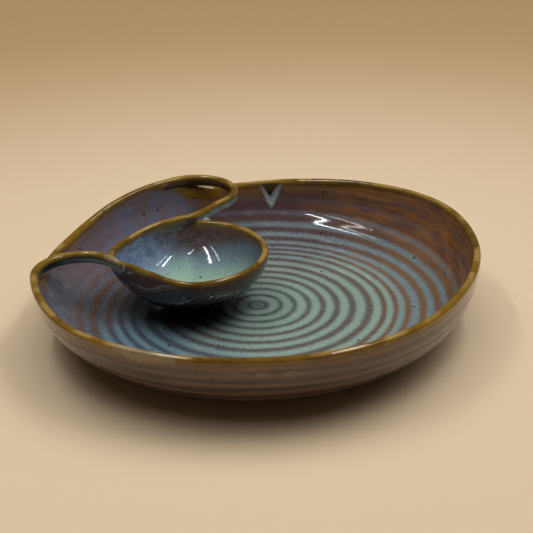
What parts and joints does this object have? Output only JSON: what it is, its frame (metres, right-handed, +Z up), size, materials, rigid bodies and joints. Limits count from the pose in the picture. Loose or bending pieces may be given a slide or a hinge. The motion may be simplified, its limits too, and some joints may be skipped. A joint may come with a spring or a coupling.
{
  "type": "chip and dip platter",
  "caption": "Round glazed stoneware platter whose cut rim curls inwards in two strips to hold a small dip bowl over its ringed floor.",
  "frame": {"origin": "on the throwing axis, at the table, under the middle of the platter", "axes": "+Z up along the throwing axis, +Y to the back, +X to the right; the dip bowl lies towards -X"},
  "size_m": [0.2835, 0.284, 0.0538],
  "materials": {
    "floor_glaze": "gloss celadon glaze, breaking brown on the throwing rings",
    "wall_glaze": "gloss plum-brown glaze, amber at the rim",
    "rim_glaze": "gloss amber glaze",
    "bowl_glaze": "gloss blue-grey glaze",
    "bare_clay": "unglazed stoneware"
  },
  "bodies": {
    "root": {"platter_floor": "floor_glaze", "foot_ring": "bare_clay", "lower_wall": "wall_glaze", "main_wall": "wall_glaze", "back_left_wall": "wall_glaze", "front_swirl": "rim_glaze", "back_swirl": "rim_glaze", "dip_bowl": "bowl_glaze", "dip_bowl_pad": "bowl_glaze", "front_swirl_seam": "floor_glaze", "back_swirl_seam": "floor_glaze"}
  },
  "joints": []
}
